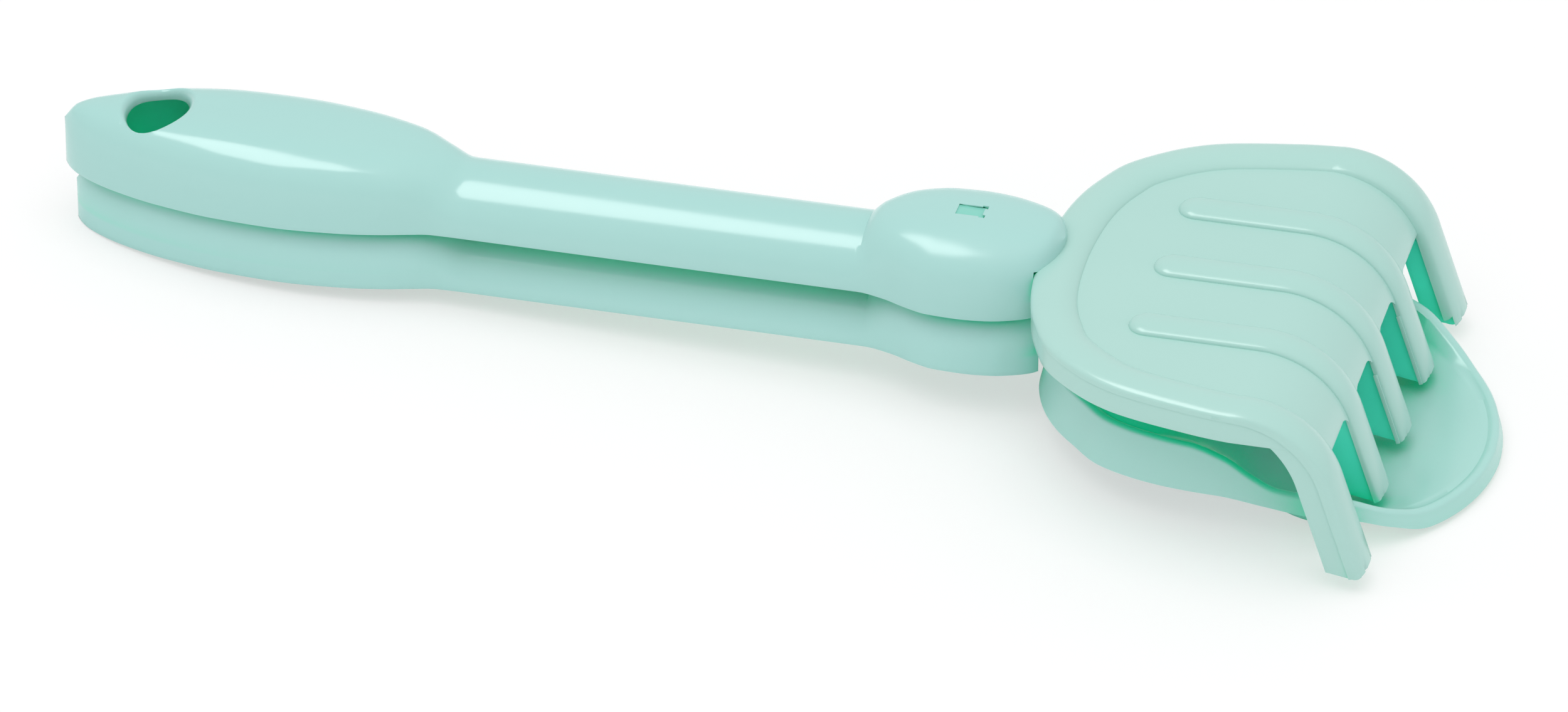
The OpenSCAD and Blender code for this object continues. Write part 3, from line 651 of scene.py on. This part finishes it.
def skirt_point(u, v):
    """The skirt under the plate's edge, which runs out in the bend on either side."""
    end, steps = BEND_R * math.acos(1 - (PLATE_H - SKIRT_Z) / BEND_R), 11
    k, sign = abs(2 * u - 1) * (len(PLAN) - 1 + steps), 1 if u > 0.5 else -1
    if k < len(PLAN) - 1:
        x, y = between(PLAN, k)
        top = PLATE_H - 0.3
    else:
        x, top = front(end * (k - len(PLAN) + 1) / steps, -0.3)[:2]
        y = HEAD_HALF
    return x, sign * y, max(top, SKIRT_Z + 0.8) * (1 - v) + SKIRT_Z * v


# The gaps between the tines start at this turn of the bend and have these round corners
GAP_T, GAP_R, GAP_RUN, GAP_REACH = math.radians(66), 4.0, 45, 6
CUTS = [(TINE_HALF, PITCH - TINE_HALF), (PITCH + TINE_HALF, HEAD_HALF + 2)]
CUTS += [(-b, -a) for a, b in CUTS]
gap_x, gap_z = front(BEND_R * GAP_T)[:2]


def gap_lift(p, top):
    """Stands a gap's flat outline square to the bend where the gap starts."""
    h = GAP_REACH * (2 * top - 1)
    return (gap_x + p[0] * math.cos(GAP_T) + h * math.sin(GAP_T), p[1],
            gap_z - p[0] * math.sin(GAP_T) + h * math.cos(GAP_T))


def in_gap(c):
    """Whether a place lies in one of the gaps, inside their round corners."""
    x = (c.x - gap_x) * math.cos(GAP_T) - (c.z - gap_z) * math.sin(GAP_T)
    for a, b in CUTS:
        if x > 0 and a < c.y < b:
            y = min(c.y - a, b - c.y)
            return not (x < GAP_R and y < GAP_R and (x - GAP_R) ** 2 + (y - GAP_R) ** 2 > GAP_R ** 2)
    return False


corner = [(GAP_R * (1 - math.sin(t)), GAP_R * (1 - math.cos(t)))
          for t in (math.pi / 2 * k / 6 for k in range(7))]
gap_walls = [prism([(x, a + y) for x, y in corner] + [(GAP_RUN, a), (GAP_RUN, b)]
                   + [(x, b - y) for x, y in reversed(corner)], gap_lift) for a, b in CUTS]
# The tips' slope and rounding, how much shorter the inner tines are, and how far the cutter reaches
TIP_SLOPE, TIP_R, SHORTER, TIP_REACH = math.radians(10), 2.3, 1.8, 16.4


def tip_outline(g, h):
    """What lies below the tip of a tine that is h long and stands g out from the plate's profile."""
    ex = BEND_X + (BEND_R + g) * math.sin(BEND_T) + h * math.tan(LEAN)
    ez = PLATE_H - BEND_R + (BEND_R + g) * math.cos(BEND_T) - h
    cx = ex - TIP_R * (math.sin(BEND_T) + math.tan(TIP_SLOPE))
    cz = ez - TIP_R * (math.cos(BEND_T) - 1)
    down, turn = -math.pi / 2 - TIP_SLOPE, math.pi / 2 + TIP_SLOPE + LEAN
    arc = [down + turn * k / 8 for k in range(9)]
    return ([(cx - TIP_REACH, cz - TIP_R + (TIP_REACH - TIP_R) * math.tan(TIP_SLOPE))]
            + [(cx + TIP_R * math.cos(t), cz + TIP_R * math.sin(t)) for t in arc]
            + [(cx + TIP_REACH, cz), (cx + TIP_REACH, cz - TIP_REACH), (cx - TIP_REACH, cz - TIP_REACH)])


def inside_outline(p, x, z):
    """Whether (x, z) lies inside the closed outline p."""
    hit = False
    for (x0, z0), (x1, z1) in zip(p, p[1:] + p[:1]):
        if (z0 > z) != (z1 > z) and x < x0 + (z - z0) / (z1 - z0) * (x1 - x0):
            hit = not hit
    return hit


TIPS = (tip_outline(RIB_H, TINE_H - SHORTER), tip_outline(RIM_H + FORWARD, TINE_H))
# The outer tines' inner side; sheets that would lie in one plane are kept this far apart
APART = 0.05
EDGE_Y, FAR_Y = HEAD_HALF - RIM_W + APART, 70


def past_tip(c):
    """Whether a place lies past the tip of its tine."""
    return inside_outline(TIPS[abs(c.y) > EDGE_Y], c.x, c.z)


def tip_walls():
    """What cuts all five tips: one prism across the inner tines and one for each outer tine."""
    return join("tips", [prism(TIPS[k], lambda p, top, y0=y0, y1=y1: (p[0], y1 if top else y0, p[1]))
                         for k, y0, y1 in ((0, -EDGE_Y, EDGE_Y), (1, -FAR_Y, -EDGE_Y), (1, EDGE_Y, FAR_Y))])


# Outside: mint with painted shade in its hollows. Inside: a deep green that is painted shade
HEAD_MINT = [mint("rake_head_mint", (0.415, 0.675, 0.62), (0.445, 0.705, 0.645), 0.22,
                  open_share=(0.15, 0.55)),
             mint("rake_head_inside_painted_shade", (0.08, 0.90, 0.68), (0.11, 0.93, 0.72), 0.35)]
skin = sheet("plate_skin", len(ROWS) - 1, 96, skin_point)
merge(skin)
cut(skin, join("gaps", gap_walls), in_gap)
cut(skin, tip_walls(), past_tip)
ridges = [sheet("rim", 2 * (len(ROWS) - 1), 30, ridge_point(rim_path, RIM_H, RIM_W / 2))]
ridges += [sheet("rib", 90, 30, ridge_point(rib_path(y), RIB_H, TINE_HALF)) for y in (-PITCH, 0, PITCH)]
ridges = join("ridges", ridges)
cut(ridges, tip_walls(), past_tip)
walls = []
for y in (-PITCH, 0, PITCH):
    walls += [sheet("flank", 60, 6, wall_point(y + k * (TINE_HALF - WALL / 2), INNER_FLANK, 0))
              for k in (-1, 1)]
walls += [sheet("flank", 60, 6, wall_point(k * (EDGE_Y + WALL / 2), OUTER_FLANK, FORWARD)) for k in (-1, 1)]
walls = join("flanks", walls)
cut(walls, tip_walls(), past_tip)
outer_walls = join("outer_flanks", [
    sheet("flank", 60, 6, wall_point(k * (HEAD_HALF - APART), OUTER_FLANK, FORWARD)) for k in (-1, 1)])
cut(outer_walls, tip_walls(), past_tip)
skirt = sheet("skirt", 260, 4, skirt_point)
outwards(skin, lambda c: (0.2, 0, 1))
thicken(skin, HEAD_MINT)
thicken(ridges, [HEAD_MINT[0], HEAD_MINT[0]], edge=0)
outwards(outer_walls, lambda c: (0, c.y, 0))
thicken(outer_walls, HEAD_MINT, edge=0.25)
outwards(skirt, lambda c: (c.x - BEND_X, c.y, 0))
thicken(skirt, HEAD_MINT)
# Both faces of the tines' flanks take the painted shade of the head's inside. Their cut edges take the
# plain mint
thicken(walls, [HEAD_MINT[1], HEAD_MINT[1], HEAD_MINT[0]], offset=0, edge=0.25, rim=2)
# The tongue's gap inside the collar, its neck's wall, the tooth's sizes across and its edges
TONGUE_GAP, NECK_WALL = 0.3, 5
TOOTH_L, TOOTH_W, TOOTH_EDGE = 6.9, 4.9, 0.2
# The snap tooth is painted a darker teal, painted shade for its place down in the window
TOOTH_PAINTED_SHADE_MINT = mint("snap_tooth_painted_shade", (0.22, 0.63, 0.53), (0.25, 0.66, 0.56), 0.22)


def tongue(name, inset, mats, head_top):
    """The hollow plug inside the collar, the neck to the plate and the snap tooth in the window."""
    at = [k / (len(OUT) - 1) for k in range(len(OUT))]
    inner = [u for u, p in zip(at, OUT)
             if COLLAR_X + 0.3 * COLLAR_L < p.x < COLLAR_X + 0.97 * COLLAR_L and p.y > 2]
    shell = handle_point(inset + WALL + TONGUE_GAP)
    plug = sheet(name, 24, 30, lambda u, v: shell(inner[0] + (inner[-1] - inner[0]) * u, 0.12 + 0.76 * v))
    outwards(plug, lambda c: (0, 0, 1))
    thicken(plug, mats)
    neck_x, neck_end, neck_half = COLLAR_X + 0.75 * COLLAR_L, HEAD_X + 2.5, 0.65 * COLLAR_HALF
    neck = sheet("neck", 8, 4, lambda u, v: (neck_x + (neck_end - neck_x) * u, (2 * v - 1) * neck_half,
                                             head_top - 0.5))
    outwards(neck, lambda c: (0, 0, 1))
    thicken(neck, mats, wall=NECK_WALL)
    crown = height_at(CROWN, WINDOW_X) - inset - WALL - TONGUE_GAP
    nothing_selected()
    bpy.ops.mesh.primitive_cube_add(size=1)
    tooth = bpy.context.object
    for p in tooth.data.vertices:
        # Its top falls a little towards the head
        top = (1.4 if p.co.x > 0 else 1.5) * WALL if p.co.z > 0 else 0
        p.co = Vector((WINDOW_X + p.co.x * TOOTH_L, p.co.y * TOOTH_W, crown - WALL / 2 + top)) * MM
    tooth.data.materials.clear()
    tooth.data.materials.append(TOOTH_PAINTED_SHADE_MINT)
    soft = tooth.modifiers.new("soft", "BEVEL")
    soft.width, soft.segments = TOOTH_EDGE * MM, 2
    only(tooth)
    bpy.ops.object.modifier_apply(modifier="soft")
    return join(name, [plug, neck, tooth])


rake_head = join("rake_head_moulding", [skin, ridges, walls, outer_walls, skirt,
                                        tongue("rake_tongue", 0, HEAD_MINT, RAKE_TOP)])
put(rake_head, RAKE_PLACE, "rake", "rake_head")


# The handle of the shovel: the same mint moulding, a little smaller all round, so that it nests up
# inside the rake's handle. Only its lower edge shows under the rake.
# Painted shade: deep green in the strip under the rake's edge, only from 4 mm up so the edges by the table
# stay mint. The inside faces are painted shade too
SHOVEL_MINT = [mint("shovel_handle_mint", (0.40, 0.70, 0.665), (0.43, 0.73, 0.69),
                    open_share=(0.34, 0.8), above=4),
               mint("shovel_handle_inside_painted_shade", (0.02, 0.80, 0.48), (0.04, 0.84, 0.52), 0.35)]
# The height of the shovel head's top, under the collar's nose
SHOVEL_TOP = 8.3
shovel_shell = handle_shell("shovel_handle_shell", INSET, SHOVEL_TOP, SHOVEL_MINT)
shovel_handle = join("shovel_handle_moulding", [shovel_shell])
put(shovel_handle, SHOVEL_PLACE, "shovel", "shovel_handle")


# The head of the shovel: one moulding in the same mint plastic, which snaps into the shovel's collar.
# A flat D-shaped plate steps down into a dished scoop. Its edge is a rounded lip all the way round,
# and its skirt hides the open underside.
BLADE_L, BLADE_HALF, BLADE_H, BLADE_DROP = 105.0, 48.6, 8.0, 3.0
LIP_D, LIP_H, SCOOP_D, DRAFT = 12.0, 4.0, 14.3, 0.2
half_edge = smooth_row([(HEAD_X + x * BLADE_L, y * BLADE_HALF) for x, y in (
    (0, 0), (0.002, 0.12), (0.007, 0.25), (0.02, 0.36), (0.045, 0.49), (0.07, 0.58), (0.1, 0.665),
    (0.14, 0.75), (0.19, 0.86), (0.26, 0.93), (0.34, 0.975), (0.42, 0.995), (0.5, 1), (0.58, 0.995),
    (0.65, 0.985), (0.71, 0.955), (0.77, 0.9), (0.83, 0.81), (0.885, 0.695), (0.93, 0.56),
    (0.965, 0.405), (0.99, 0.22), (1, 0))], 181)
for again in range(12):
    half_edge = ([half_edge[0]]
                 + [(a + 2 * b + c) / 4 for a, b, c in zip(half_edge, half_edge[1:], half_edge[2:])]
                 + [half_edge[-1]])
EDGE = half_edge + [Vector((p.x, -p.y)) for p in reversed(half_edge[1:-1])]
# Heights along the head: the lip, the skirt's foot and the floor along the middle
UPPER, LOWER, FLOOR = [[(HEAD_X + x * BLADE_L, z) for x, z in rows] for rows in (
    ((0, BLADE_H), (0.4, 7.52), (0.48, 5.6), (0.55, 1.6), (0.6, -0.72), (0.67, -1.68), (0.76, -3.6),
     (0.84, -7.92), (0.91, -11.04), (1, -LIP_D)),
    ((0, -BLADE_DROP), (0.47, -BLADE_DROP), (0.58, -4.4), (0.68, -6.2), (0.76, -7.6), (0.84, -11.56),
     (0.91, -15.16), (1, -LIP_D - LIP_H)),
    ((0, BLADE_H), (0.26, BLADE_H), (0.38, 6), (0.48, 0), (0.56, -6), (0.63, -12.3), (0.68, -14.157),
     (0.72, -SCOOP_D), (1, -SCOOP_D)))]
# How late the floor rises to the lip: the higher the power, the flatter the floor
FLATNESS = [(HEAD_X + x * BLADE_L, power) for x, power in ((0, 8), (0.8, 8), (0.93, 3.5), (1, 3.5))]
MIDDLE = Vector((HEAD_X + 0.58 * BLADE_L, 0))


def table_at(x):
    """The height of the table under the leaning shovel, with a hair's clearance."""
    return 0.03 - x * math.tan(TILT)


def edge_in(k, d):
    """Point k of the edge, moved in by d."""
    n = len(EDGE)
    t = (EDGE[(k + 1) % n] - EDGE[k - 1]).normalized()
    return EDGE[k] + d * Vector((t.y, -t.x))


def drafted(k, d):
    """The same at the height of the lip, towards which the skirt leans in."""
    x = EDGE[k].x
    return edge_in(k, d + DRAFT * (height_at(UPPER, x) - height_at(LOWER, x)))


def floor_at(k, u, drop):
    """The floor, a share u of the way from its middle to the lip over point k, or drop below it."""
    q = MIDDLE.lerp(drafted(k, 0), u)
    a, b = height_at(FLOOR, q.x), height_at(UPPER, q.x)
    z = a + (b - a) * u ** height_at(FLATNESS, q.x) - drop
    # Underneath, the scoop is flat where it rests on the table
    return q.x, q.y, max(z, table_at(q.x)) if drop else z


def lip_at(k, d, z):
    """The lip over point k, d in from its outer edge and z walls down."""
    q = drafted(k, d)
    return q.x, q.y, height_at(UPPER, EDGE[k].x) - z * WALL


def foot_at(k, d):
    """The foot of the skirt under point k, d in."""
    q = edge_in(k, d)
    return q.x, q.y, max(height_at(LOWER, EDGE[k].x), table_at(q.x))


# The rings of the blade, from the middle of its floor out over the lip, down the skirt and back inside
SHARES = [0.02, 0.06, 0.12, 0.18, 0.24, 0.3, 0.36, 0.42, 0.48, 0.53, 0.58, 0.63, 0.67, 0.71, 0.75, 0.78,
          0.81, 0.84, 0.865, 0.89, 0.91]
FOOT_W = 0.8 * WALL
OUTER = ([lambda k, u=u: floor_at(k, u, 0) for u in SHARES]
         + [lambda k, d=d, z=z: lip_at(k, d * WALL, z) for d, z in (
             (1.5, 0.3), (1.2, 0.1), (0.9, 0), (0.6, 0), (0.35, 0.07), (0.15, 0.2), (0.03, 0.38), (0, 0.6))]
         + [lambda k, u=u: tuple(a + (b - a) * u for a, b in zip(lip_at(k, 0, 0.6), foot_at(k, 0)))
            for u in (0.3, 0.6, 0.9, 1)])


def corner_at(k, d):
    """Where the inside of the skirt meets the underside."""
    q, lo, hi = drafted(k, d), height_at(LOWER, EDGE[k].x), height_at(UPPER, EDGE[k].x)
    full = min(1, max(0, (hi - lo - 2 * WALL) / (BLADE_H + BLADE_DROP - 2 * WALL)))
    return q.x, q.y, (lo + 0.2 * WALL) * (1 - full) + (hi - WALL) * full


RINGS = (OUTER + [lambda k: foot_at(k, FOOT_W)]
         + [lambda k, u=u: tuple(a + (b - a) * u for a, b in zip(foot_at(k, FOOT_W), corner_at(k, WALL)))
            for u in (0.5, 1)] + [lambda k, u=u: floor_at(k, u, WALL) for u in reversed(SHARES)])


def blade_point(u, v):
    k = round(u * len(EDGE)) % len(EDGE)
    return RINGS[round(v * (len(RINGS) - 1))](k)


# Outside: mint with painted shade where hemmed in. The underside and the inside of the skirt: a darker tone
# that is painted shade
BLADE_MINT = [mint("shovel_head_mint", (0.40, 0.70, 0.65), (0.43, 0.73, 0.675), 0.22, 0.028, (0.3, 0.68)),
              mint("shovel_head_inside_painted_shade", (0.30, 0.66, 0.58), (0.33, 0.69, 0.61), 0.35)]
blade = sheet("blade", len(EDGE), len(RINGS) - 1, blade_point, (*BLADE_MINT, len(OUTER) / (len(RINGS) - 1)))
merge(blade)
# The two rings left in the middle of the floor, above and below, are each closed
middle_z = height_at(FLOOR, MIDDLE.x) - WALL / 2
for side in (-1, 1):
    select_edges(blade, lambda c: (c.xy - MIDDLE).length < 4 and side * (c.z - middle_z) > 0)
    bpy.ops.mesh.edge_face_add()
    bpy.ops.mesh.poke()
    bpy.ops.object.mode_set(mode="OBJECT")
merge(blade)
shovel_head = join("shovel_head_moulding", [blade, tongue("shovel_tongue", INSET, BLADE_MINT, SHOVEL_TOP)])
put(shovel_head, SHOVEL_PLACE, "shovel", "shovel_head")


# The table the pair lies on: a plain white sheet of matt paper, which takes the pair's soft shadow. To
# the camera it also shines a little, so that it is white however little light falls on it.
nothing_selected()
bpy.ops.mesh.primitive_plane_add(size=8)
floor = bpy.context.object
floor.name = "floor"
paper = bpy.data.materials.new("paper")
paper.use_nodes = True
paper_nodes, paper_links = paper.node_tree.nodes, paper.node_tree.links
matt = paper_nodes["Principled BSDF"]
matt.inputs["Base Color"].default_value = (0.97, 0.97, 0.97, 1)
matt.inputs["Roughness"].default_value = 0.9
matt.inputs["Specular IOR Level"].default_value = 0.1
white, blend, seen, share = [paper_nodes.new("ShaderNode" + n)
                             for n in ("Emission", "MixShader", "LightPath", "Math")]
share.operation = "MULTIPLY"
share.inputs[1].default_value = 0.55
paper_links.new(seen.outputs["Is Camera Ray"], share.inputs[0])
paper_links.new(share.outputs["Value"], blend.inputs["Fac"])
paper_links.new(matt.outputs["BSDF"], blend.inputs[1])
paper_links.new(white.outputs["Emission"], blend.inputs[2])
paper_links.new(blend.outputs["Shader"], paper_nodes["Material Output"].inputs["Surface"])
floor.data.materials.append(paper)


# The light: one wide soft lamp overhead, and a second that shows only as the highlights on the glossy
# handles. The rest comes evenly from a white surrounding.
def softbox(name, place, aim, wide, high, power):
    bpy.ops.object.light_add(type="AREA", location=place)
    lamp = bpy.context.object
    lamp.name = name
    lamp.data.shape, lamp.data.energy = "RECTANGLE", power
    lamp.data.size, lamp.data.size_y = wide, high
    lamp.rotation_euler = (Vector(aim) - Vector(place)).to_track_quat("-Z", "Y").to_euler()
    return lamp


softbox("overhead", (-0.1, -0.3, 1.7), (0, 0, 0), 2.0, 2.0, 15).visible_glossy = False
softbox("reflected", (-0.62, -0.3, 1.5), (-0.1, 0, 0), 1.15, 0.7, 14).visible_diffuse = False
world = bpy.data.worlds.new("studio")
world.use_nodes = True
around = world.node_tree.nodes["Background"]
around.inputs["Color"].default_value, around.inputs["Strength"].default_value = (1, 1, 1, 1), 0.72
bpy.context.scene.world = world

# The camera looks down on the near side, a little from the head's end, from far away. Its place is
# given in axes that lean with the pair, by the point it looks at, its two angles and its distance.
turn, rise, away = math.radians(14.38), math.radians(31.84), 2341.5
back = Vector((math.sin(turn) * math.cos(rise), -math.cos(turn) * math.cos(rise), math.sin(rise)))
right = Vector((math.cos(turn), math.sin(turn), 0))
up = back.cross(right)
aim = Vector((171.73, 0, -12.79))
pose = Matrix((right, up, back)).transposed().to_4x4()
pose.translation = (aim + back * away) * MM
bpy.ops.object.camera_add()
camera = bpy.context.object
camera.matrix_world = stands_at(0, 0) @ pose
camera.data.sensor_width, camera.data.lens, camera.data.clip_end = 36, 234, 50  # the last in metres
bpy.context.scene.camera = camera
bpy.context.scene.view_settings.view_transform = "Standard"

bpy.context.view_layer.update()
